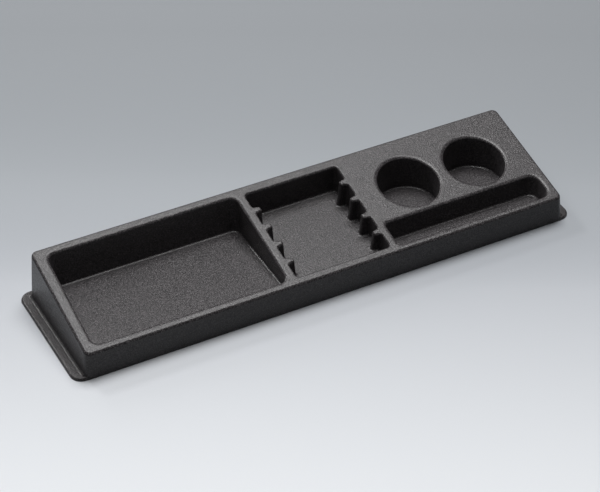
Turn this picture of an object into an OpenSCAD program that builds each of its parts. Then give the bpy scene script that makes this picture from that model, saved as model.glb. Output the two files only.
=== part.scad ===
// Car dashboard tray: one moulded sheet with a large bin, a ribbed rack, a pen slot and two cup wells.
// It stands on the base plane. X runs along its length, Y from front to back, Z up.
// The origin is the middle of the footprint, flanges included, on the base plane.

/* [Body] */
// Depth of the tray at its foot, from front to back
body_depth = 152; // [145:1:175]
// Height of the front top edge
front_height = 32; // [30:0.5:40]
// Height of the back top edge
back_height = 63; // [56:1:80]
// Thickness of the moulded sheet
wall = 2.2; // [1.6:0.1:2.6]
// Draft of the front and back walls, which lean in towards the top, in degrees
body_draft = 4; // [1:0.5:5]
// How far an end wall leans in from its foot up to its top edge
end_lean = 2.7; // [1:0.1:4]
// Radius of the four upright corners
body_corner_r = 7; // [5:0.5:10]
// Radius of the outer top edge
top_edge_r = 2.8; // [1.5:0.1:3.5]
// Width of the land between the left end wall and the bin
bin_end_rim_w = 12.5; // [9:0.5:18]
// Width of the land between the right end wall and the pen slot
slot_end_rim_w = 10.5; // [9:0.5:18]
// Width of the land in front of the bin and the rack
front_rim_w = 9.8; // [8.8:0.2:14]
// Width of the land behind the bin
bin_back_rim_w = 10.3; // [8.8:0.1:14]
// Width of the land behind the rack
rack_back_rim_w = 12; // [8.8:0.1:14]
// Width of the land between the bin and the rack
bin_divider_w = 11; // [8:0.5:16]
// Width of the land between the rack and the pen slot
slot_divider_w = 10; // [7:0.5:14]

/* [Flanges] */
// Width of the flange beyond each end wall
flange_w = 12; // [11.5:0.5:30]
// How far a flange runs on behind the back wall
flange_back_reach = 5; // [0:0.5:8]
// Radius of the outer corners of a flange
flange_corner_r = 13.5; // [4:0.5:14]
// How far the front end of a flange lies behind the foot of the front wall
flange_setback = 0.3; // [0.3:0.1:1]
// Thickness of the skirt that closes the recess under a flange
skirt_w = 1.6; // [1:0.1:2]
// Radius of the fillet where an end wall meets its flange
flange_fillet_r = 3; // [1:0.5:5]

/* [Pocket edges] */
// Radius of the rolled rim of every pocket
rim_r = 2.2; // [1:0.1:2.4]
// Radius of the fillet round every floor
floor_r = 1.8; // [1.2:0.1:4]
// How far the outer ends of the bin and the pen slot turn in towards the back, in degrees
pocket_end_turn = 0.9; // [0:0.1:2]

/* [Large bin] */
// Length of the bin along the tray
bin_len = 224.5; // [150:0.5:300]
// Height of the bin's floor
bin_floor_z = 19; // [14:0.5:21]
// Radius of the bin's corners
bin_corner_r = 9; // [5:0.5:14]
// How far the bin's end walls lean in down to the floor
bin_side_lean = 0.6; // [0.4:0.1:4]
// How far the bin's front wall leans in down to the floor
bin_front_lean = 0.8; // [0.2:0.1:3]
// How far the bin's back wall leans in down to the floor
bin_back_lean = 6; // [0.5:0.1:8]

/* [Rack] */
// Length of the rack along the tray, between its recessed walls
rack_len = 114.5; // [100:0.5:160]
// Height of the rack's floor at the rack's front edge
rack_floor_z = 14.6; // [12:0.2:17]
// Tilt of the rack's floor, rising to the back, in degrees
rack_floor_tilt = 6.3; // [3:0.1:9]
// Radius of the rack's outer corners
rack_corner_r = 4; // [3:0.5:8]
// How far the rack's walls lean in down to the floor
rack_lean = 1.2; // [0.5:0.1:4]
// Ribs on each side wall
rib_count = 4; // [1:1:4]
// Distance from one rib to the next
rib_pitch = 25.5; // [22:0.5:27]
// Width of a rib where it leaves the wall
rib_root_w = 9; // [8:0.5:12]
// Width of a rib at its nose
rib_nose_w = 5.5; // [5:0.5:7]
// How far a rib stands out from the wall at the rim
rib_out = 8.3; // [6:0.1:12]
// How much further a rib stands out at the floor
rib_lean = 0.8; // [0.5:0.1:6]
// Radius of a rib's nose corners
rib_nose_r = 2.2; // [1.9:0.1:2.4]
// Radius where a rib meets the wall
rib_root_r = 2.2; // [1:0.1:2.5]

/* [Pen slot] */
// Length of the pen slot
slot_len = 196.5; // [190:0.5:260]
// Width of the pen slot, front to back
slot_w = 32.7; // [28:0.1:36]
// Width of the land in front of the pen slot
slot_front_rim_w = 8.3; // [7.3:0.1:10]
// Height of the pen slot's floor
slot_floor_z = 15.5; // [12:0.5:19]
// Radius of the pen slot's corners beside the rack
slot_inner_r = 5; // [4:0.5:10]
// Radius of the pen slot's corners at the end of the tray
slot_outer_r = 11; // [6:0.5:14]
// How far the pen slot's walls lean in down to the floor
slot_lean = 2.2; // [0.5:0.1:2.6]

/* [Cup wells] */
// Diameter of a cup well at its rim
cup_d = 70.5; // [60:0.5:76]
// Distance between the middles of the two cup wells
cup_pitch = 86; // [84:0.5:96]
// Width of the land between the pen slot and the cup wells
cup_land_w = 7.5; // [5.5:0.5:10]
// Height of the floors of the cup wells
cup_floor_z = 16.5; // [12:0.5:20]
// How much smaller in radius a cup well is at its floor
cup_lean = 1.2; // [0.5:0.1:4]

/* [Fixing tape] */
// Width of the foam tape under each flange
tape_w = 9; // [6:0.5:9.5]
// Length of the foam tape
tape_len = 118; // [60:1:120]
// Thickness of the foam tape
tape_t = 0.8; // [0.4:0.1:1.5]
// Thickness of the release liner
liner_t = 0.2; // [0.1:0.05:0.4]
// How far the liner stands past the tape on every side
liner_margin = 0.5; // [0.2:0.1:0.9]
// Length of the finger tab at the back end of the liner
liner_tab = 6; // [3:0.5:8]
// Gap between the ends of the liner and the recess
recess_gap = 0.5; // [0.2:0.1:1]

/* [Hidden] */

// Straight pieces that stand for a quarter turn of an upright corner, of a rib's nose and of a rib's root
corner_steps = 5;
nose_steps = 3;
root_steps = 2;
// Sides of a cup well
cup_sides = 44;
// Angles of the rings that make the rolled rims, the outer top edge, the floor fillets and the flange fillets
rim_angles = [75, 50, 25, 0];
edge_angles = [90, 60, 30, 0];
floor_angles = [0, 30, 60, 90];
flange_angles = [90, 60, 30, 0];
// How far a cutter runs past the face that it opens
overrun = 0.5;
// Least radius that a corner keeps when its outline is moved
least_r = 0.2;
// Least half width of the hollow inside a rib
rib_core_half = 0.5;

// The front and back walls lean in by this much at a height
function lean_at(z) = z * tan(body_draft);
// Length along the front top edge, and of the foot
front_edge_len = bin_end_rim_w + bin_len + bin_divider_w + rack_len + slot_divider_w + slot_len + slot_end_rim_w;
foot_len = front_edge_len + 2 * end_lean;
// The body's foot, in the middle of the flanges along Y, and its front and back top edges
foot_y0 = -(body_depth + flange_back_reach) / 2;
foot_y1 = foot_y0 + body_depth;
top_y0 = foot_y0 + lean_at(front_height);
top_y1 = foot_y1 - lean_at(back_height);
top_slope = (back_height - front_height) / (top_y1 - top_y0);
flange_under_z = tape_t + liner_t;
flange_top_z = flange_under_z + wall;

// Edges of the lands along X, from left to right, and along Y
bin_x1 = -front_edge_len / 2 + bin_end_rim_w + bin_len;
rack_x0 = bin_x1 + bin_divider_w;
rack_x1 = rack_x0 + rack_len;
slot_x0 = rack_x1 + slot_divider_w;
pocket_y0 = top_y0 + front_rim_w;
bin_y1 = top_y1 - bin_back_rim_w;
rack_y1 = top_y1 - rack_back_rim_w;
slot_y0 = top_y0 + slot_front_rim_w;
slot_y1 = slot_y0 + slot_w;
cup_y = slot_y1 + cup_land_w + cup_d / 2;
cup_mid_x = slot_x0 + slot_len / 2;
tape_mid_x = (foot_len + flange_w - skirt_w - wall) / 2;

// A plane is [height at y = 0, rise per unit of y]
top_plane = [front_height - top_slope * top_y0, top_slope];
rack_rise = tan(rack_floor_tilt);
rack_floor = [rack_floor_z - rack_rise * pocket_y0, rack_rise];
function level(z) = [z, 0];
function plane_z(plane, y) = plane[0] + plane[1] * y;
function lowered(plane, drop) = [plane[0] - drop, plane[1]];

// Outlines. A corner is [x, y, radius, steps], and corners run anticlockwise from the front right.
function unit(v) = v / norm(v);
function left_of(v) = [-v[1], v[0]];
function turn(v, a) = [v[0] * cos(a) - v[1] * sin(a), v[0] * sin(a) + v[1] * cos(a)];
function xy(p) = [p[0], p[1]];
function bend(u, v) = atan2(u[0] * v[1] - u[1] * v[0], u * v);

// The arc that replaces one corner once the outline has moved inwards by inset
function corner_arc(before, here, after, inset) =
    let (
        u = unit(xy(here) - xy(before)),
        v = unit(xy(after) - xy(here)),
        angle = bend(u, v),
        tip = xy(here) + inset * (left_of(u) + left_of(v)) / (1 + u * v),
        side = sign(angle),
        r = max(here[2] - side * inset, least_r),
        start = tip - u * r * tan(abs(angle) / 2),
        middle = start + left_of(u) * r * side
    )
    [for (k = [0 : here[3]]) middle + turn(start - middle, k * angle / here[3])];

function cornered(corners, inset) =
    let (n = len(corners))
    [for (i = [0 : n - 1]) each corner_arc(corners[(i + n - 1) % n], corners[i], corners[(i + 1) % n], inset)];

function rounded(middle, r) =
    [for (i = [0 : cup_sides - 1]) middle + turn([0, -r], (i + 1 / 2) * 360 / cup_sides)];

// A shape is a list of corners, or "round" with its middle and radius
function outline(shape, inset) =
    shape[0] == "round" ? rounded(shape[1], shape[2] - inset) : cornered(shape, inset);

// Four corners. The ends x0 and x1 are each [x at the front, x at the back].
function four_corners(x0, x1, y0, y1, r_left, r_right) = [
    [x1[0], y0, r_right, corner_steps],
    [x1[1], y1, r_right, corner_steps],
    [x0[1], y1, r_left, corner_steps],
    [x0[0], y0, r_left, corner_steps]
];

// The end of a pocket that runs beside an end wall, turned in a little towards the back
function beside_end(side, y0, y1, inset) =
    [for (y = [y0, y1]) side * (front_edge_len / 2 - inset - (y - top_y0) * tan(pocket_end_turn))];

// A ring is an outline laid on a plane
function ring(shape, inset, plane) = [for (p = outline(shape, inset)) [p[0], p[1], plane_z(plane, p[1])]];

// Faces between rings that run from the top down, closed by strips across the first and the last
function quad(a, b, c, d) = [[a, b, c], [a, c, d]];
function wall_faces(rows, n) = [
    for (k = [0 : rows - 2], i = [0 : n - 1])
        let (a = k * n + i, b = k * n + (i + 1) % n)
        each quad(a, b, b + n, a + n)
];
function top_faces(n) = [for (i = [0 : n / 2 - 2]) each quad(i, n - 1 - i, n - 2 - i, i + 1)];
function bottom_faces(n, s) = [
    for (i = [0 : n / 2 - 2]) each quad(s + i, s + i + 1, s + n - 2 - i, s + n - 1 - i)
];

module loft(rings) {
    n = len(rings[0]);
    rows = len(rings);
    polyhedron(
        points = [for (r = rings) each r],
        faces = concat(wall_faces(rows, n), top_faces(n), bottom_faces(n, (rows - 1) * n))
    );
}

// The hollow of a pocket, from above its rim down to its floor, with a rolled rim and a floor fillet
module pocket_hollow(rim, foot, floor_plane) {
    loft(concat(
        [ring(rim, -rim_r * (1 - cos(rim_angles[0])), lowered(top_plane, -overrun))],
        [for (a = rim_angles) ring(rim, -rim_r * (1 - cos(a)), lowered(top_plane, rim_r * (1 - sin(a))))],
        [for (a = floor_angles)
            ring(foot, floor_r * (1 - cos(a)), lowered(floor_plane, -floor_r * (1 - sin(a))))]
    ));
}

// The same pocket with its sheet round it, for the underside: shapes given here are already a wall larger
module pocket_outside(rim, foot, floor_plane) {
    outer_r = floor_r + wall;
    loft(concat(
        [ring(rim, 0, top_plane)],
        [for (a = [0, 45, 90])
            ring(foot, outer_r * (1 - cos(a)), lowered(floor_plane, wall - outer_r * (1 - sin(a))))]
    ));
}

// Shapes of the pockets, each grown by a given sheet thickness
function bin_shape(side, front, back, grow) = four_corners(
    beside_end(-1, pocket_y0, bin_y1, bin_end_rim_w + side - grow),
    [1, 1] * (bin_x1 - side + grow),
    pocket_y0 + front - grow,
    bin_y1 - back + grow,
    bin_corner_r + grow,
    bin_corner_r + grow
);

function slot_shape(lean, grow) = four_corners(
    [1, 1] * (slot_x0 + lean - grow),
    beside_end(1, slot_y0, slot_y1, slot_end_rim_w + lean - grow),
    slot_y0 + lean - grow,
    slot_y1 - lean + grow,
    slot_inner_r + grow,
    slot_outer_r + grow
);

function cup_shape(side, lean, grow) = ["round", [cup_mid_x + side * cup_pitch / 2, cup_y], cup_d / 2 - lean + grow];

// The rack's outline: a rectangle with ribs on both side walls, written as its right half and mirrored
function rib_y(i) = (pocket_y0 + rack_y1) / 2 + (i - (rib_count - 1) / 2) * rib_pitch;
function rib_corners(x, y, out, root_half, nose_half, nose_r) = [
    [x, y - root_half, rib_root_r, root_steps],
    [x - out, y - nose_half, nose_r, nose_steps],
    [x - out, y + nose_half, nose_r, nose_steps],
    [x, y + root_half, rib_root_r, root_steps]
];
function rack_right(half, y0, y1, out, root_half, nose_half, nose_r, corner_r) = concat(
    [[half, y0, corner_r, corner_steps]],
    [for (i = [0 : rib_count - 1]) each rib_corners(half, rib_y(i), out, root_half, nose_half, nose_r)],
    [[half, y1, corner_r, corner_steps]]
);
function both_sides(right, x) = concat(
    [for (c = right) [x + c[0], c[1], c[2], c[3]]],
    [for (i = [len(right) - 1 : -1 : 0]) [x - right[i][0], right[i][1], right[i][2], right[i][3]]]
);
function rack_shape(lean, out, grow) = both_sides(
    rack_right(
        rack_len / 2 - lean + grow,
        pocket_y0 + lean - grow,
        rack_y1 - lean + grow,
        out,
        rib_root_w / 2 - grow,
        max(rib_nose_w / 2 - grow, rib_core_half),
        grow > 0 ? least_r : rib_nose_r,
        rack_corner_r + grow
    ),
    (rack_x0 + rack_x1) / 2
);

// Outside of the body where its front wall is z_front high and its back wall z_back, its ends flared by flare
function body_shape(z_front, z_back, flare) =
    let (
        half_front = foot_len / 2 - end_lean * z_front / front_height + flare,
        half_back = foot_len / 2 - end_lean * z_back / back_height + flare
    )
    four_corners(
        [-half_front, -half_back],
        [half_front, half_back],
        foot_y0 + lean_at(z_front),
        foot_y1 - lean_at(z_back),
        body_corner_r,
        body_corner_r
    );
function body_top(drop) = body_shape(front_height - drop, back_height - drop, 0);

// Leaning walls with a rolled top edge, on a foot that flares out to meet the flanges
module body_outside() {
    loft(concat(
        [for (a = edge_angles)
            let (drop = top_edge_r * (1 - sin(a)))
            ring(body_top(drop), top_edge_r * (1 - cos(a)), lowered(top_plane, drop))],
        [for (a = flange_angles)
            let (z = flange_top_z + flange_fillet_r * (1 - cos(a)))
            ring(body_shape(z, z, flange_fillet_r * (1 - sin(a))), 0, level(z))],
        [ring(body_shape(0, 0, flange_fillet_r), 0, level(0))]
    ));
}

// Flange at one end: it starts under the end wall, has rounded outer corners and runs on at the back
module flange(side) {
    x_in = foot_len / 2 - body_corner_r;
    x_out = foot_len / 2 + flange_w;
    y_front = foot_y0 + flange_setback;
    y_back = foot_y1 + flange_back_reach;
    shape = [
        [x_out, y_front, flange_corner_r, corner_steps],
        [x_out, y_back, flange_corner_r, corner_steps],
        [x_in, y_back, flange_fillet_r, corner_steps],
        [x_in, y_front, least_r, 1]
    ];
    mirror([side < 0 ? 1 : 0, 0, 0])
        linear_extrude(height = flange_top_z)
            polygon(outline(shape, 0));
}

// Space under the sheet: the body a wall smaller, less every pocket a wall larger
module underside() {
    difference() {
        loft([
            ring(body_top(0), wall, lowered(top_plane, wall * norm([1, top_slope]))),
            ring(body_shape(0, 0, 0), wall, level(-overrun))
        ]);
        pocket_outside(
            bin_shape(0, 0, 0, wall),
            bin_shape(bin_side_lean, bin_front_lean, bin_back_lean, wall),
            level(bin_floor_z)
        );
        pocket_outside(
            rack_shape(0, rib_out, wall),
            rack_shape(rack_lean, rib_out + rib_lean, wall),
            rack_floor
        );
        pocket_outside(slot_shape(0, wall), slot_shape(slot_lean, wall), level(slot_floor_z));
        for (side = [-1, 1])
            pocket_outside(cup_shape(side, 0, wall), cup_shape(side, cup_lean, wall), level(cup_floor_z));
    }
}

// Recess under a flange that takes the tape and its liner, open to the space under the sheet
module tape_recess(side) {
    x_in = foot_len / 2 - wall - overrun;
    x_out = foot_len / 2 + flange_w - skirt_w;
    length = tape_len + 2 * (liner_margin + recess_gap) + liner_tab;
    mirror([side < 0 ? 1 : 0, 0, 0])
        translate([x_in, -tape_len / 2 - liner_margin - recess_gap, -overrun])
            cube([x_out - x_in, length, flange_under_z + overrun]);
}

module tray_shell() {
    color([0.09, 0.09, 0.09])
        difference() {
            union() {
                body_outside();
                flange(-1);
                flange(1);
            }
            pocket_hollow(
                bin_shape(0, 0, 0, 0),
                bin_shape(bin_side_lean, bin_front_lean, bin_back_lean, 0),
                level(bin_floor_z)
            );
            pocket_hollow(
                rack_shape(0, rib_out, 0),
                rack_shape(rack_lean, rib_out + rib_lean, 0),
                rack_floor
            );
            pocket_hollow(slot_shape(0, 0), slot_shape(slot_lean, 0), level(slot_floor_z));
            for (side = [-1, 1])
                pocket_hollow(cup_shape(side, 0, 0), cup_shape(side, cup_lean, 0), level(cup_floor_z));
            underside();
            tape_recess(-1);
            tape_recess(1);
        }
}

module foam_tape(side) {
    color([0.2, 0.2, 0.21])
        translate([side * tape_mid_x - tape_w / 2, -tape_len / 2, liner_t])
            cube([tape_w, tape_len, tape_t]);
}

module release_liner(side) {
    width = tape_w + 2 * liner_margin;
    length = tape_len + 2 * liner_margin + liner_tab;
    color([0.75, 0.12, 0.1])
        translate([side * tape_mid_x - width / 2, -tape_len / 2 - liner_margin, 0])
            cube([width, length, liner_t]);
}

tray_shell();
foam_tape(-1);  // left_foam_tape
foam_tape(1);  // right_foam_tape
release_liner(-1);  // left_release_liner
release_liner(1);  // right_release_liner
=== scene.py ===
import math

import bmesh
import bpy
from mathutils import Matrix, Vector, noise


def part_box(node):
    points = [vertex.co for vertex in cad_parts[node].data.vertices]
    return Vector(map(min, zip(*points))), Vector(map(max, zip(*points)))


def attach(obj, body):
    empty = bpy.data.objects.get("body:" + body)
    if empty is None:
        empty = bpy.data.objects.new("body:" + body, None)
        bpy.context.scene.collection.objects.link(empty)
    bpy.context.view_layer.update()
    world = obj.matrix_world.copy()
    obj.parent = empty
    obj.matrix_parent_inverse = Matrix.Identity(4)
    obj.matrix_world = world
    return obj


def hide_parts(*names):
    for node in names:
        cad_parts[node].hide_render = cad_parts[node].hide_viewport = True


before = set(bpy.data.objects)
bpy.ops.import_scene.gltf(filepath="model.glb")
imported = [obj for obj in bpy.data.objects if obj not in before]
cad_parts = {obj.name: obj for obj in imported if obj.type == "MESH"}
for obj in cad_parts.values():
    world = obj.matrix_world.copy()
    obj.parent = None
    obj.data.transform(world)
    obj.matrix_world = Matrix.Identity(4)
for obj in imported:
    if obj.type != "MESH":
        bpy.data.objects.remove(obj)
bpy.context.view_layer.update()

# Camera. It stands where the photograph was taken from, which the tray's straight edges
# and cup rims settle: well above the front left corner, with a long lens.
photo_width_px = 600
focal_px = 2026.5
sensor_mm = 36
camera_reach = 50
camera_at = Vector((-0.8290, -1.5241, 1.4116))
camera_azimuth = 0.4968
camera_elevation = 0.6783
camera_roll = 0.0128

forward = Vector((
    math.sin(camera_azimuth) * math.cos(camera_elevation),
    math.cos(camera_azimuth) * math.cos(camera_elevation),
    -math.sin(camera_elevation),
))
level_right = Vector((math.cos(camera_azimuth), -math.sin(camera_azimuth), 0))
level_up = level_right.cross(forward)
right = level_right * math.cos(camera_roll) + level_up * math.sin(camera_roll)
up = level_up * math.cos(camera_roll) - level_right * math.sin(camera_roll)

camera = bpy.data.objects.new("camera", bpy.data.cameras.new("camera"))
camera.data.sensor_width = sensor_mm
camera.data.lens = focal_px * sensor_mm / photo_width_px
camera.data.clip_end = camera_reach
camera_turn = Matrix((right, up, -forward)).transposed().to_4x4()
camera.matrix_world = Matrix.Translation(camera_at) @ camera_turn
bpy.context.scene.collection.objects.link(camera)
bpy.context.scene.camera = camera

# Tray shell. One moulded sheet of black plastic, grained on its face: a wedge with leaning
# outer walls, five pockets with rolled rims, and a flat flange at the foot of each end wall.
# Its sizes are in millimetres.
mm = 0.001
shell_low, shell_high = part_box("tray_shell")
shell_top_z = shell_high[2] / mm
flange_end_x = shell_high[0] / mm
flange_back_y = shell_high[1] / mm
foot_y0 = shell_low[1] / mm

wall = 2.2
body_depth = 152
front_height = 32
back_height = 63
body_draft = math.radians(4)
end_lean = 2.7
body_corner_r = 7
top_edge_r = 2.8
flange_w = 12
flange_corner_r = 13.5
flange_setback = 0.3
flange_fillet_r = 3
flange_edge_r = 2.4
skirt_w = 1.6
recess_gap = 0.5
flange_under_z = 1.0
flange_top_z = flange_under_z + wall
rim_r = 2.2
rim_roll_w = 4.4
floor_r = 1.8
floor_fillet_w = 3
pocket_end_turn = math.radians(0.9)

bin_end_rim_w = 12.5
bin_back_rim_w = 10.3
bin_len = 224.5
bin_floor_z = 19
bin_corner_r = 9
bin_side_lean = 0.6
bin_front_lean = 0.8
bin_back_lean = 6
bin_divider_w = 11

front_rim_w = 9.8
rack_back_rim_w = 12
rack_len = 114.5
rack_floor_z = 14.6
rack_floor_rise = math.tan(math.radians(6.3))
rack_corner_r = 4
rack_lean = 1.2
rib_count = 4
rib_pitch = 25.5
rib_root_w = 9
rib_nose_w = 5.5
rib_out = 8.3
rib_lean = 0.8
rib_nose_r = 2.2
rib_root_r = 2.2
rib_core_half = 0.5
slot_divider_w = 10

slot_end_rim_w = 10.5
slot_front_rim_w = 8.3
slot_len = 196.5
slot_w = 32.7
slot_floor_z = 15.5
slot_inner_r = 5
slot_outer_r = 11
slot_lean = 2.2

cup_d = 70.5
cup_pitch = 86
cup_land_w = 7.5
cup_floor_z = 16.5
cup_lean = 1.2

overrun = 0.5
least_r = 0.2
corner_steps = 10
nose_steps = 6
root_steps = 4
sharp_steps = 1
cup_sides = 112
rim_turns = [86, 78, 69, 60, 50, 40, 28, 14, 0]
edge_turns = [90, 75, 60, 45, 30, 15, 0]
floor_turns = edge_turns[::-1]
shell_crease = 38
flat_face_weight = 80


def lean_at(z):
    """How far the front and back walls lean in at a height."""
    return z * math.tan(body_draft)


foot_half = flange_end_x - flange_w
edge_half = foot_half - end_lean
foot_y1 = foot_y0 + body_depth
top_y0 = foot_y0 + lean_at(front_height)
top_y1 = foot_y1 - lean_at(back_height)
top_slope = (back_height - front_height) / (top_y1 - top_y0)
top_plane = (front_height - top_slope * top_y0, top_slope)

bin_x1 = -edge_half + bin_end_rim_w + bin_len
rack_x0 = bin_x1 + bin_divider_w
rack_x1 = rack_x0 + rack_len
slot_x0 = rack_x1 + slot_divider_w
pocket_y0 = top_y0 + front_rim_w
bin_y1 = top_y1 - bin_back_rim_w
rack_y1 = top_y1 - rack_back_rim_w
slot_y0 = top_y0 + slot_front_rim_w
slot_y1 = slot_y0 + slot_w
cup_y = slot_y1 + cup_land_w + cup_d / 2
cup_mid_x = slot_x0 + slot_len / 2
rack_floor = (rack_floor_z - rack_floor_rise * pocket_y0, rack_floor_rise)


def plane_z(plane, y):
    """Height of a plane, given as (height at y = 0, rise along y)."""
    return plane[0] + plane[1] * y


def corner_arc(before, here, after, inset):
    """The arc of one corner, (x, y, radius, steps), of an outline moved inwards by inset."""
    tip = Vector(here[:2])
    u = (tip - Vector(before[:2])).normalized()
    v = (Vector(after[:2]) - tip).normalized()
    angle = math.atan2(u.x * v.y - u.y * v.x, u.dot(v))
    side = 1 if angle > 0 else -1
    u_left = Vector((-u.y, u.x))
    v_left = Vector((-v.y, v.x))
    moved = tip + (u_left + v_left) * inset / (1 + u.dot(v))
    r = max(here[2] - side * inset, least_r)
    start = moved - u * r * math.tan(abs(angle) / 2)
    middle = start + u_left * r * side
    arm = start - middle
    return [middle + Matrix.Rotation(angle * k / here[3], 2) @ arm for k in range(here[3] + 1)]


def outline(shape, inset):
    """Points of a shape moved inwards: a list of corners, or ("round", middle, radius)."""
    if shape[0] == "round":
        r = shape[2] - inset
        turns = [(i + 0.5) * 2 * math.pi / cup_sides for i in range(cup_sides)]
        x, y = shape[1]
        return [Vector((x + r * math.sin(t), y - r * math.cos(t))) for t in turns]
    after = shape[1:] + shape[:1]
    return [p for i, c in enumerate(shape) for p in corner_arc(shape[i - 1], c, after[i], inset)]


def ring(shape, inset, plane, drop=0):
    """A shape's outline laid on a plane, lowered by drop."""
    return [Vector((p.x, p.y, plane_z(plane, p.y) - drop)) for p in outline(shape, inset)]


def level(z):
    """A level plane at a height."""
    return (z, 0)


def four_corners(x0, x1, y0, y1, r_left, r_right):
    """A rounded four-sided shape; x0 and x1 are each (x at the front, x at the back)."""
    return [
        (x1[0], y0, r_right, corner_steps),
        (x1[1], y1, r_right, corner_steps),
        (x0[1], y1, r_left, corner_steps),
        (x0[0], y0, r_left, corner_steps),
    ]


def beside_end(side, y0, y1, inset):
    """X at the front and the back of a pocket's end that turns in beside an end wall."""
    turn = math.tan(pocket_end_turn)
    return [side * (edge_half - inset - (y - top_y0) * turn) for y in (y0, y1)]


def bin_shape(side, front, back, grow):
    """The bin's outline, its walls leaning in by side, front and back, then grown by grow."""
    return four_corners(
        beside_end(-1, pocket_y0, bin_y1, bin_end_rim_w + side - grow),
        [bin_x1 - side + grow] * 2,
        pocket_y0 + front - grow,
        bin_y1 - back + grow,
        bin_corner_r + grow,
        bin_corner_r + grow,
    )


def slot_shape(lean, grow):
    """The pen slot's outline, leaning in by lean, then grown by grow."""
    return four_corners(
        [slot_x0 + lean - grow] * 2,
        beside_end(1, slot_y0, slot_y1, slot_end_rim_w + lean - grow),
        slot_y0 + lean - grow,
        slot_y1 - lean + grow,
        slot_inner_r + grow,
        slot_outer_r + grow,
    )


def cup_shape(side, lean, grow):
    """A cup well's outline; side is -1 for the left one and 1 for the right one."""
    return ("round", (cup_mid_x + side * cup_pitch / 2, cup_y), cup_d / 2 - lean + grow)


def rib_corners(half, y, out, root_half, nose_half, nose_r):
    """One rib on the right-hand wall, from front to back."""
    return [
        (half, y - root_half, rib_root_r, root_steps),
        (half - out, y - nose_half, nose_r, nose_steps),
        (half - out, y + nose_half, nose_r, nose_steps),
        (half, y + root_half, rib_root_r, root_steps),
    ]


def rack_shape(lean, out, grow):
    """The rack's outline: a rectangle with ribs on both sides, a right half and its mirror."""
    half = rack_len / 2 - lean + grow
    root_half = rib_root_w / 2 - grow
    nose_half = max(rib_nose_w / 2 - grow, rib_core_half)
    nose_r = least_r if grow > 0 else rib_nose_r
    right_half = [(half, pocket_y0 + lean - grow, rack_corner_r + grow, corner_steps)]
    for i in range(rib_count):
        y = (pocket_y0 + rack_y1) / 2 + (i - (rib_count - 1) / 2) * rib_pitch
        right_half += rib_corners(half, y, out, root_half, nose_half, nose_r)
    right_half.append((half, rack_y1 - lean + grow, rack_corner_r + grow, corner_steps))
    middle = (rack_x0 + rack_x1) / 2
    mirrored = [(middle - c[0], *c[1:]) for c in reversed(right_half)]
    return [(middle + c[0], *c[1:]) for c in right_half] + mirrored


def body_shape(z_front, z_back, flare=0):
    """The outside of the body where its front wall is z_front high and its back wall z_back."""
    half_front = foot_half - end_lean * z_front / front_height + flare
    half_back = foot_half - end_lean * z_back / back_height + flare
    return four_corners(
        (-half_front, -half_back),
        (half_front, half_back),
        foot_y0 + lean_at(z_front),
        foot_y1 - lean_at(z_back),
        body_corner_r,
        body_corner_r,
    )


def new_piece(name, bm, material):
    """An object made from bm, whose points are in millimetres."""
    bmesh.ops.scale(bm, vec=(mm, mm, mm), verts=bm.verts)
    bmesh.ops.recalc_face_normals(bm, faces=bm.faces)
    mesh = bpy.data.meshes.new(name)
    bm.to_mesh(mesh)
    bm.free()
    mesh.materials.append(material)
    piece = bpy.data.objects.new(name, mesh)
    bpy.context.scene.collection.objects.link(piece)
    return piece


def loft(name, rings, material):
    """A closed solid through rings that all have the same number of points."""
    bm = bmesh.new()
    rows = [[bm.verts.new(p) for p in r] for r in rings]
    n = len(rows[0])
    for above, below in zip(rows, rows[1:]):
        for i in range(n):
            j = (i + 1) % n
            bm.faces.new((above[i], above[j], below[j], below[i]))
    caps = [bm.faces.new(rows[0]), bm.faces.new(rows[-1][::-1])]
    bmesh.ops.triangulate(bm, faces=caps)
    return new_piece(name, bm, material)


def pocket_hollow(rim, foot, floor_plane, material, roll_w=rim_roll_w):
    """The space of a pocket, with its rolled rim and the fillet round its floor."""
    first = math.radians(rim_turns[0])
    rings = [ring(rim, -roll_w * (1 - math.cos(first)), top_plane, -overrun)]
    for t in map(math.radians, rim_turns):
        drop = rim_r * (1 - math.sin(t))
        rings.append(ring(rim, -roll_w * (1 - math.cos(t)), top_plane, drop))
    for t in map(math.radians, floor_turns):
        rise = floor_r * (1 - math.sin(t))
        rings.append(ring(foot, floor_fillet_w * (1 - math.cos(t)), floor_plane, -rise))
    return loft("pocket_hollow", rings, material)


def pocket_outside(rim, foot, floor_plane, material):
    """The same pocket seen from below, its shapes already a wall larger."""
    outer_r = floor_r + wall
    rings = [ring(rim, 0, top_plane)]
    for t in map(math.radians, floor_turns):
        drop = wall - outer_r * (1 - math.sin(t))
        rings.append(ring(foot, outer_r * (1 - math.cos(t)), floor_plane, drop))
    return loft("pocket_outside", rings, material)


def body_outside(material):
    """The leaning walls, with the rolled top edge and the flare down to the flanges."""
    rings = []
    for t in map(math.radians, edge_turns):
        drop = top_edge_r * (1 - math.sin(t))
        shape = body_shape(front_height - drop, back_height - drop)
        top = ring(shape, top_edge_r * (1 - math.cos(t)), top_plane, drop)
        rings.append([Vector((p.x, p.y, min(p.z, shell_top_z))) for p in top])
    for t in map(math.radians, edge_turns):
        z = flange_top_z + flange_fillet_r * (1 - math.cos(t))
        rings.append(ring(body_shape(z, z, flange_fillet_r * (1 - math.sin(t))), 0, level(z)))
    rings.append(ring(body_shape(0, 0, flange_fillet_r), 0, level(0)))
    return loft("tray_shell_moulding", rings, material)


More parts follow.
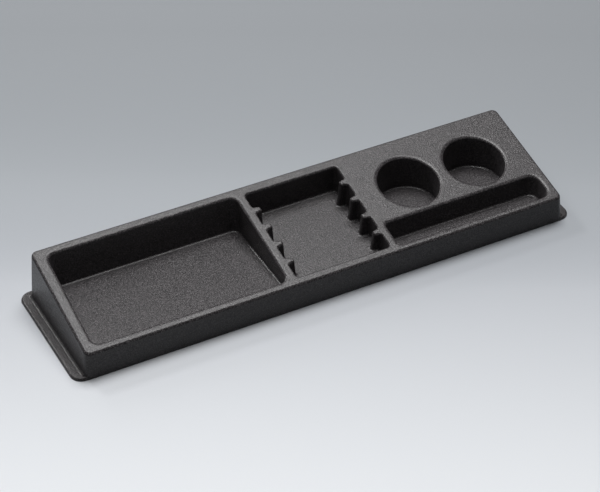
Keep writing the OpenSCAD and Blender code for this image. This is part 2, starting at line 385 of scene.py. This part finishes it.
def flange_plate(side, material):
    """The flange at one end, from under the end wall to its rounded outer edge."""
    x_in = foot_half - body_corner_r
    y_front = foot_y0 + flange_setback
    corners = [
        (flange_end_x, y_front, flange_corner_r, corner_steps),
        (flange_end_x, flange_back_y, flange_corner_r, corner_steps),
        (x_in, flange_back_y, flange_fillet_r, corner_steps),
        (x_in, y_front, least_r, sharp_steps),
    ]
    if side < 0:
        corners = [(-x, y, r, steps) for x, y, r, steps in reversed(corners)]
    rings = [ring(corners, 0, level(0))]
    for t in map(math.radians, reversed(edge_turns)):
        z = flange_top_z - flange_edge_r * (1 - math.sin(t))
        rings.append(ring(corners, flange_edge_r * (1 - math.cos(t)), level(z)))
    return loft("flange_plate", rings, material)


def underside(material):
    """The hollow under the sheet: the body a wall smaller, less every pocket a wall larger."""
    top_drop = wall * math.hypot(1, top_slope)
    hollow = loft("underside", [
        ring(body_shape(front_height, back_height), wall, top_plane, top_drop),
        ring(body_shape(0, 0), wall, level(-overrun)),
    ], material)
    bulges = [
        pocket_outside(
            bin_shape(0, 0, 0, wall),
            bin_shape(bin_side_lean, bin_front_lean, bin_back_lean, wall),
            level(bin_floor_z), material),
        pocket_outside(
            rack_shape(0, rib_out, wall),
            rack_shape(rack_lean, rib_out + rib_lean, wall),
            rack_floor, material),
        pocket_outside(
            slot_shape(0, wall),
            slot_shape(slot_lean, wall),
            level(slot_floor_z), material),
    ]
    for side in (-1, 1):
        shapes = cup_shape(side, 0, wall), cup_shape(side, cup_lean, wall)
        bulges.append(pocket_outside(*shapes, level(cup_floor_z), material))
    return combine(hollow, bulges, "DIFFERENCE")


def tape_recess(side, liner_node, material):
    """The recess under a flange that takes the tape and its liner."""
    x = sorted((side * (foot_half - wall - overrun), side * (flange_end_x - skirt_w)))
    y = [corner[1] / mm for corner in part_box(liner_node)]
    y = (y[0] - recess_gap, y[1] + recess_gap)
    corners = ((x[1], y[0]), (x[1], y[1]), (x[0], y[1]), (x[0], y[0]))
    rings = [[Vector((*c, z)) for c in corners] for z in (flange_under_z, -overrun)]
    return loft("tape_recess", rings, material)


def combine(piece, others, operation):
    """Joins or cuts a solid with others, which are used up. Cut faces keep their cutter's look."""
    for other in others:
        step = piece.modifiers.new(other.name, "BOOLEAN")
        step.object = other
        step.operation = operation
        step.solver = "MANIFOLD"
        step.material_mode = "TRANSFER"
    seen = piece.evaluated_get(bpy.context.evaluated_depsgraph_get())
    mesh = bpy.data.meshes.new_from_object(seen)
    piece.modifiers.clear()
    old = piece.data
    piece.data = mesh
    mesh.name = piece.name
    bpy.data.meshes.remove(old)
    for other in others:
        bpy.data.objects.remove(other)
    return piece


def node_group(name, inputs, outputs):
    """An empty shader group, with its input and output nodes."""
    group = bpy.data.node_groups.new(name, "ShaderNodeTree")
    for label, kind, value in inputs:
        socket = group.interface.new_socket(label, in_out="INPUT", socket_type=kind)
        socket.default_value = value
    for label, kind in outputs:
        group.interface.new_socket(label, in_out="OUTPUT", socket_type=kind)
    return group, group.nodes.new("NodeGroupInput"), group.nodes.new("NodeGroupOutput")


def add_node(tree, kind, settings=None, values=None):
    """A node with its settings and its unlinked socket values."""
    node = tree.nodes.new(kind)
    for key, value in (settings or {}).items():
        setattr(node, key, value)
    for key, value in (values or {}).items():
        node.inputs[key].default_value = value
    return node


def math_node(tree, operation, a, b=None, clamp=False):
    """A Math node on two links or numbers; returns its result."""
    node = add_node(tree, "ShaderNodeMath", {"operation": operation, "use_clamp": clamp})
    for socket, value in zip(node.inputs, (a, b)):
        if value is None:
            continue
        if isinstance(value, (int, float)):
            socket.default_value = value
        else:
            tree.links.new(value, socket)
    return node.outputs[0]


# The grain: scales are in features to the metre and heights in parts of grain_depth, in mm.
bend_scale = 520.0
bend_by = 0.0015
pebble_scale = 820.0
pebble_height = 0.25
pebble_half = 0.5
skin_scale = 720.0
pore_scale = 2400.0
pore_height = 0.05
grain_low = 0.5
grain_high = 0.88
grain_depth = 0.34

# How squarely a face looks up, as a cosine: where a roll starts and is full, and where it
# turns into a wall.
roll_starts = 0.992
roll_full = 0.95
wall_starts = 0.4
wall_full = 0.12


def scaled(tree, value, by, plus):
    """A link times one number, plus another."""
    result = math_node(tree, "MULTIPLY_ADD", value, by)
    result.node.inputs[2].default_value = plus
    return result


def make_grain_group():
    """Hair-cell grain: small pebbles parted by shallow creases, on a slightly uneven skin."""
    group, given, out = node_group(
        "moulded_grain",
        [("Vector", "NodeSocketVector", (0, 0, 0))],
        [("Height", "NodeSocketFloat"), ("Mask", "NodeSocketFloat")],
    )
    links = group.links
    bend = add_node(group, "ShaderNodeTexNoise", {}, {"Scale": bend_scale, "Detail": 2.0})
    links.new(given.outputs["Vector"], bend.inputs["Vector"])
    centred = add_node(group, "ShaderNodeVectorMath", {"operation": "SUBTRACT"})
    centred.inputs[1].default_value = (0.5, 0.5, 0.5)
    links.new(bend.outputs["Color"], centred.inputs[0])
    small = add_node(group, "ShaderNodeVectorMath", {"operation": "SCALE"}, {"Scale": bend_by})
    links.new(centred.outputs[0], small.inputs[0])
    warped = add_node(group, "ShaderNodeVectorMath", {"operation": "ADD"})
    links.new(given.outputs["Vector"], warped.inputs[0])
    links.new(small.outputs[0], warped.inputs[1])
    cells = add_node(group, "ShaderNodeTexVoronoi", {"feature": "DISTANCE_TO_EDGE"}, {
        "Scale": pebble_scale})
    links.new(warped.outputs[0], cells.inputs["Vector"])
    dome = add_node(group, "ShaderNodeMapRange", {"interpolation_type": "SMOOTHSTEP"}, {
        "From Min": 0.0, "From Max": pebble_half})
    links.new(cells.outputs["Distance"], dome.inputs["Value"])
    skin = add_node(group, "ShaderNodeTexNoise", {}, {"Scale": skin_scale, "Detail": 1.5})
    links.new(given.outputs["Vector"], skin.inputs["Vector"])
    pores = add_node(group, "ShaderNodeTexNoise", {}, {"Scale": pore_scale, "Detail": 2.0})
    links.new(given.outputs["Vector"], pores.inputs["Vector"])
    domes = math_node(group, "MULTIPLY", dome.outputs[0], pebble_height)
    fines = math_node(group, "MULTIPLY", pores.outputs[0], pore_height)
    height = math_node(group, "ADD", math_node(group, "ADD", domes, fines), skin.outputs[0])
    links.new(height, out.inputs["Height"])
    mask = add_node(group, "ShaderNodeMapRange", {}, {
        "From Min": grain_low, "From Max": grain_high})
    links.new(height, mask.inputs["Value"])
    links.new(mask.outputs[0], out.inputs["Mask"])
    return group


def make_roll_group():
    """Where the sheet rolls over at an edge or a fillet, and its grain is polished: 0 to 1."""
    group, given, out = node_group(
        "rolled_edges",
        [("Normal", "NodeSocketVector", (0, 0, 1))],
        [("Mask", "NodeSocketFloat")],
    )
    links = group.links
    facings = []
    for flat in (Vector((0, 0, 1)), Vector((0, -top_slope, 1)).normalized()):
        facing = add_node(group, "ShaderNodeVectorMath", {"operation": "DOT_PRODUCT"})
        facing.inputs[1].default_value = flat
        links.new(given.outputs["Normal"], facing.inputs[0])
        facings.append(facing.outputs["Value"])
    turned = add_node(group, "ShaderNodeMapRange", {"interpolation_type": "SMOOTHSTEP"}, {
        "From Min": roll_starts, "From Max": roll_full})
    links.new(math_node(group, "MAXIMUM", *facings), turned.inputs["Value"])
    off_wall = add_node(group, "ShaderNodeMapRange", {"interpolation_type": "SMOOTHSTEP"}, {
        "From Min": wall_full, "From Max": wall_starts})
    links.new(facings[0], off_wall.inputs["Value"])
    rolled = math_node(group, "MULTIPLY", turned.outputs[0], off_wall.outputs[0])
    links.new(rolled, out.inputs["Mask"])
    return group


grain_group = make_grain_group()
roll_group = make_roll_group()


def add_group(tree, group):
    """A node that runs a shader group."""
    return add_node(tree, "ShaderNodeGroup", {"node_tree": group})


def plain_material(name, color, roughness, specular=0.5):
    """A material with one Principled shader, and that shader."""
    material = bpy.data.materials.new(name)
    material.use_nodes = True
    shader = material.node_tree.nodes["Principled BSDF"]
    shader.inputs["Base Color"].default_value = (*color, 1)
    shader.inputs["Roughness"].default_value = roughness
    shader.inputs["Specular IOR Level"].default_value = specular
    return material, shader


# Where a Mix node of colours takes its mask and its two colours, and gives the result.
mix_mask, mix_first, mix_second, mix_result = 0, 6, 7, 2


def mix_color(tree, factor, dark, light):
    """A colour between two, by a mask."""
    node = add_node(tree, "ShaderNodeMix", {"data_type": "RGBA"})
    node.inputs[mix_first].default_value = (*dark, 1)
    node.inputs[mix_second].default_value = (*light, 1)
    tree.links.new(factor, node.inputs[mix_mask])
    return node.outputs[mix_result]


# The face's finish. Its grain is rougher in the creases; painted shade makes it dark there, and
# painted light makes it pale on the pebbles.
face_color = (0.06, 0.056, 0.058)
crease_painted_shade = (0.024, 0.0222, 0.0233)
pebble_painted_light = (0.128, 0.118, 0.1225)
face_specular = 0.31
face_roughness = 0.27
crease_roughness = 0.31
pebble_polish = 0.1
patch_scale = 16.0
patch_roughness = 0.06
roll_polish = 0.06
roll_grain_loss = 0.7


def grained_plastic():
    """The face of the sheet: near-black and satin, with grain that fades on the rolled edges, and
    painted shade in its creases and painted light on its pebbles.
    """
    material, shader = plain_material(
        "grained_black_plastic", face_color, face_roughness, face_specular)
    tree = material.node_tree
    place = add_node(tree, "ShaderNodeTexCoord")
    surface = add_node(tree, "ShaderNodeNewGeometry")
    grain = add_group(tree, grain_group)
    tree.links.new(place.outputs["Object"], grain.inputs["Vector"])
    roll = add_group(tree, roll_group)
    tree.links.new(surface.outputs["Normal"], roll.inputs["Normal"])
    kept = scaled(tree, roll.outputs["Mask"], -roll_grain_loss, 1.0)
    patches = add_node(tree, "ShaderNodeTexNoise", {}, {"Scale": patch_scale, "Detail": 4.0})
    tree.links.new(place.outputs["Object"], patches.inputs["Vector"])
    # Painted light and shade: the colour is darkened in the grain's creases and lightened on its
    # pebble tops.
    painted_grain_light_and_shade = mix_color(tree, grain.outputs["Mask"], crease_painted_shade, pebble_painted_light)
    tree.links.new(painted_grain_light_and_shade, shader.inputs["Base Color"])
    rough = scaled(tree, grain.outputs["Mask"], -pebble_polish, crease_roughness)
    uneven = scaled(tree, patches.outputs[0], patch_roughness, -patch_roughness / 2)
    polish = math_node(tree, "MULTIPLY", roll.outputs["Mask"], -roll_polish)
    rough = math_node(tree, "ADD", math_node(tree, "ADD", rough, uneven), polish)
    tree.links.new(rough, shader.inputs["Roughness"])
    bump = add_node(tree, "ShaderNodeBump", {}, {"Strength": 1.0, "Distance": grain_depth * mm})
    height = math_node(tree, "MULTIPLY", grain.outputs["Height"], kept)
    tree.links.new(height, bump.inputs["Height"])
    tree.links.new(bump.outputs[0], shader.inputs["Normal"])
    return material


# The back's finish, with its faint flow marks.
back_color = (0.035, 0.035, 0.036)
flow_dark = (0.026, 0.026, 0.027)
flow_pale = (0.045, 0.045, 0.046)
back_roughness = 0.38
flow_dark_roughness = 0.3
flow_roughness_rise = 0.16
flow_scale = 22.0
flow_depth = 0.1


def smooth_plastic():
    """The back of the sheet, which the mould didn't grain: smooth, with faint flow marks."""
    material, shader = plain_material("smooth_black_plastic", back_color, back_roughness)
    tree = material.node_tree
    place = add_node(tree, "ShaderNodeTexCoord")
    flow = add_node(tree, "ShaderNodeTexNoise", {}, {
        "Scale": flow_scale, "Detail": 6.0, "Distortion": 0.8})
    tree.links.new(place.outputs["Object"], flow.inputs["Vector"])
    shade = mix_color(tree, flow.outputs[0], flow_dark, flow_pale)
    tree.links.new(shade, shader.inputs["Base Color"])
    rough = scaled(tree, flow.outputs[0], flow_roughness_rise, flow_dark_roughness)
    tree.links.new(rough, shader.inputs["Roughness"])
    bump = add_node(tree, "ShaderNodeBump", {}, {"Strength": 0.3, "Distance": flow_depth * mm})
    tree.links.new(flow.outputs[0], bump.inputs["Height"])
    tree.links.new(bump.outputs[0], shader.inputs["Normal"])
    return material


face_plastic = grained_plastic()
back_plastic = smooth_plastic()
flanges = [flange_plate(side, face_plastic) for side in (-1, 1)]
shell = combine(body_outside(face_plastic), flanges, "UNION")
pockets = [
    pocket_hollow(
        bin_shape(0, 0, 0, 0),
        bin_shape(bin_side_lean, bin_front_lean, bin_back_lean, 0),
        level(bin_floor_z), face_plastic),
    pocket_hollow(
        rack_shape(0, rib_out, 0),
        rack_shape(rack_lean, rib_out + rib_lean, 0),
        rack_floor, face_plastic, roll_w=rim_r),
    pocket_hollow(slot_shape(0, 0), slot_shape(slot_lean, 0), level(slot_floor_z), face_plastic),
]
for side in (-1, 1):
    shapes = cup_shape(side, 0, 0), cup_shape(side, cup_lean, 0)
    pockets.append(pocket_hollow(*shapes, level(cup_floor_z), face_plastic))
shell = combine(shell, pockets, "DIFFERENCE")
shell = combine(shell, [
    underside(back_plastic),
    tape_recess(-1, "left_release_liner", back_plastic),
    tape_recess(1, "right_release_liner", back_plastic),
], "DIFFERENCE")


def smooth_shading(piece, crease_degrees):
    """Smooth shading that stays sharp past an angle and keeps the large faces flat."""
    for face in piece.data.polygons:
        face.use_smooth = True
    piece.data.set_sharp_from_angle(angle=math.radians(crease_degrees))
    flat = piece.modifiers.new("flat_faces", "WEIGHTED_NORMAL")
    flat.weight = flat_face_weight
    flat.keep_sharp = True


smooth_shading(shell, shell_crease)
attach(shell, "root")
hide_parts("tray_shell")

# Foam tape. A strip of black closed-cell foam with glue on both faces, cut square from a
# roll and pressed up under each flange.
tape_edge_wave = 0.12
tape_wave_turns = 0.35
tape_edge_r = 0.15
tape_steps = 90
strip_crease = 45
strip_edge_turns = (0, 30, 60, 90)
foam_color = (0.05, 0.05, 0.052)
foam_pit_painted_shade = (0.018, 0.018, 0.019)
foam_cell_pale = (0.075, 0.075, 0.078)
foam_roughness = 0.85
foam_specular = 0.3
foam_cell_scale = 2400.0
foam_cell_depth = 0.15


def foam_material():
    """Dull black foam with small open cells on its cut edges, with painted shade darkening their
    pits.
    """
    material, shader = plain_material("black_foam", foam_color, foam_roughness, foam_specular)
    tree = material.node_tree
    place = add_node(tree, "ShaderNodeTexCoord")
    cells = add_node(tree, "ShaderNodeTexVoronoi", {"feature": "F1"}, {"Scale": foam_cell_scale})
    tree.links.new(place.outputs["Object"], cells.inputs["Vector"])
    # Painted shade: the colour is darkest at the bottom of each cell pit.
    shade = mix_color(tree, cells.outputs["Distance"], foam_pit_painted_shade, foam_cell_pale)
    tree.links.new(shade, shader.inputs["Base Color"])
    bump = add_node(tree, "ShaderNodeBump", {}, {
        "Strength": 0.8, "Distance": foam_cell_depth * mm})
    tree.links.new(cells.outputs["Distance"], bump.inputs["Height"])
    tree.links.new(bump.outputs[0], shader.inputs["Normal"])
    return material


def strip_section(half_w, thick, r, squeeze):
    """Cross-section of a strip with rounded edges, drawn in a little at its middle height."""
    points = []
    for mid_x, mid_z, start in ((half_w - r, r, -90), (half_w - r, thick - r, 0),
                                (r - half_w, thick - r, 90), (r - half_w, r, 180)):
        for t in strip_edge_turns:
            a = math.radians(start + t)
            points.append((mid_x + r * math.cos(a), mid_z + r * math.sin(a)))
    waist = thick / 2
    return [(x * (1 - squeeze * (1 - abs(z - waist) / waist) / half_w), z) for x, z in points]


def foam_strip(node, material):
    """The strip that fills a tape node's box, with slightly uneven long edges."""
    low, high = (Vector(p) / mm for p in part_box(node))
    middle = (low.x + high.x) / 2
    half_w = (high.x - low.x) / 2
    section = strip_section(half_w, high.z - low.z, tape_edge_r, tape_edge_wave)
    rings = []
    for i in range(tape_steps + 1):
        y = low.y + (high.y - low.y) * i / tape_steps
        swing = noise.noise(Vector((middle, y * tape_wave_turns, 0)))
        widen = 1 + tape_edge_wave * (swing - 1) / 2 / half_w
        rings.append([Vector((middle + x * widen, y, low.z + z)) for x, z in section])
    strip = loft(node + "_strip", rings, material)
    smooth_shading(strip, strip_crease)
    return strip


foam = foam_material()
for node in ("left_foam_tape", "right_foam_tape"):
    strip = foam_strip(node, foam)
    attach(strip, "root")
    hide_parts(node)

# Release liner. A thin red siliconed film that covers the glue until the tray is fixed, a
# little wider than the tape, with a finger tab at its back end that curls up under the flange.
liner_tab_len = 6.5
liner_tab_taper = 0.35
liner_curl = 0.55
liner_edge_part = 0.3
liner_steps = 60
film_color = (0.5, 0.07, 0.05)
streak_dark = (0.42, 0.05, 0.04)
streak_pale = (0.6, 0.1, 0.07)
film_roughness = 0.28
streak_dark_roughness = 0.2
streak_roughness_rise = 0.2
streak_scale = (1400, 40, 1)
streak_depth = 0.05


def liner_material():
    """Glossy red film, with faint long streaks from the roll."""
    material, shader = plain_material("red_release_film", film_color, film_roughness)
    tree = material.node_tree
    place = add_node(tree, "ShaderNodeTexCoord")
    stretch = add_node(tree, "ShaderNodeMapping")
    stretch.inputs["Scale"].default_value = streak_scale
    tree.links.new(place.outputs["Object"], stretch.inputs["Vector"])
    streaks = add_node(tree, "ShaderNodeTexNoise", {}, {"Scale": 1.0, "Detail": 3.0})
    tree.links.new(stretch.outputs[0], streaks.inputs["Vector"])
    shade = mix_color(tree, streaks.outputs[0], streak_dark, streak_pale)
    tree.links.new(shade, shader.inputs["Base Color"])
    rough = scaled(tree, streaks.outputs[0], streak_roughness_rise, streak_dark_roughness)
    tree.links.new(rough, shader.inputs["Roughness"])
    bump = add_node(tree, "ShaderNodeBump", {}, {"Strength": 0.2, "Distance": streak_depth * mm})
    tree.links.new(streaks.outputs[0], bump.inputs["Height"])
    tree.links.new(bump.outputs[0], shader.inputs["Normal"])
    return material


def liner_film(node, material):
    """The film that fills a liner node's box, its tab rounded at the end and curled up."""
    low, high = (Vector(p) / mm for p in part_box(node))
    middle = (low.x + high.x) / 2
    half_w = (high.x - low.x) / 2
    thick = high.z - low.z
    tab_start = high.y - liner_tab_len
    section = strip_section(half_w, thick, thick * liner_edge_part, 0)
    rings = []
    for i in range(liner_steps + 1):
        y = low.y + (high.y - low.y) * i / liner_steps
        along = max(0, (y - tab_start) / liner_tab_len)
        narrow = 1 - liner_tab_taper * along ** 3
        lift = liner_curl * along ** 2
        rings.append([Vector((middle + x * narrow, y, low.z + z + lift)) for x, z in section])
    film = loft(node + "_film", rings, material)
    smooth_shading(film, strip_crease)
    return film


film_red = liner_material()
for node in ("left_release_liner", "right_release_liner"):
    film = liner_film(node, film_red)
    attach(film, "root")
    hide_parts(node)

# Studio. A pale sweep, darkened towards the back by painted shade that stands for light falling
# off, a large soft lamp above and behind the tray that its lands mirror, a small one at the back
# left that shines on the rolled rims, weak fills behind and at the left, and a dim even room.
floor_radius = 7
floor_sides = 96
floor_reach = 0.45
# Painted shade: the floor's colour darkens towards the back in place of the light falling off.
floor_painted_falloff = [
    (0, (0.78, 0.8, 0.825)),
    (0.44, (0.445, 0.462, 0.49)),
    (0.67, (0.303, 0.32, 0.34)),
    (1, (0.24, 0.253, 0.268)),
]
floor_bounce = (0.16, 0.165, 0.17)
floor_roughness = 0.9
floor_specular = 0.1
room_color = (0.8, 0.79, 0.78, 1)
room_strength = 0.05

# Each lamp has its name, its place and width in metres, and its power in watts.
lamps = [
    ("softbox_above", (0.44, 0.59, 2.5), 1.5, 79),
    ("softbox_back", (-0.3, 2.36, 1.06), 0.9, 8),
    ("softbox_back_left", (-1.68, 1.68, 1.06), 0.9, 3),
    ("strip_back", (-0.6, 1.7, 1.72), 0.4, 11),
    ("softbox_left", (-1.3, 0, 2.25), 0.9, 3.5),
]


def floor_material():
    """Matt paper, paler towards the front and darkened to the back by painted shade, that throws
    little of its light back up at the tray.
    """
    material, shader = plain_material(
        "paper_sweep", floor_bounce, floor_roughness, floor_specular)
    tree = material.node_tree
    place = add_node(tree, "ShaderNodeTexCoord")
    along = add_node(tree, "ShaderNodeVectorMath", {"operation": "DOT_PRODUCT"})
    away = (math.sin(camera_azimuth), math.cos(camera_azimuth), 0)
    along.inputs[1].default_value = away
    tree.links.new(place.outputs["Object"], along.inputs[0])
    far = add_node(tree, "ShaderNodeMapRange", {}, {
        "From Min": -floor_reach, "From Max": floor_reach})
    tree.links.new(along.outputs["Value"], far.inputs["Value"])
    # The darkening of this ramp towards the back is painted shade, standing for light falling off.
    painted_falloff_ramp = add_node(tree, "ShaderNodeValToRGB")
    painted_falloff_ramp.color_ramp.interpolation = "CARDINAL"
    for _ in floor_painted_falloff[2:]:
        painted_falloff_ramp.color_ramp.elements.new(0.5)
    for stop, (at, shade) in zip(painted_falloff_ramp.color_ramp.elements, floor_painted_falloff):
        stop.position = at
        stop.color = (*shade, 1)
    tree.links.new(far.outputs[0], painted_falloff_ramp.inputs[0])
    rays = add_node(tree, "ShaderNodeLightPath")
    in_view = rays.outputs["Is Camera Ray"], rays.outputs["Is Glossy Ray"]
    seen = math_node(tree, "ADD", *in_view, clamp=True)
    paper = add_node(tree, "ShaderNodeMix", {"data_type": "RGBA"})
    paper.inputs[mix_first].default_value = (*floor_bounce, 1)
    tree.links.new(painted_falloff_ramp.outputs[0], paper.inputs[mix_second])
    tree.links.new(seen, paper.inputs[mix_mask])
    tree.links.new(paper.outputs[mix_result], shader.inputs["Base Color"])
    return material


floor_bm = bmesh.new()
bmesh.ops.create_circle(
    floor_bm, cap_ends=True, segments=floor_sides, radius=floor_radius / mm)
floor = new_piece("floor", floor_bm, floor_material())


def area_lamp(name, at, size, power):
    """A square soft lamp that points at the tray."""
    lamp = bpy.data.lights.new(name, "AREA")
    lamp.shape = "SQUARE"
    lamp.size = size
    lamp.energy = power
    piece = bpy.data.objects.new(name, lamp)
    piece.location = at
    piece.rotation_euler = (-Vector(at)).to_track_quat("-Z", "Y").to_euler()
    bpy.context.scene.collection.objects.link(piece)


for lamp in lamps:
    area_lamp(*lamp)

world = bpy.data.worlds.new("room")
world.use_nodes = True
bpy.context.scene.world = world
background = world.node_tree.nodes["Background"]
background.inputs["Color"].default_value = room_color
background.inputs["Strength"].default_value = room_strength

bpy.context.scene.view_settings.view_transform = "Standard"
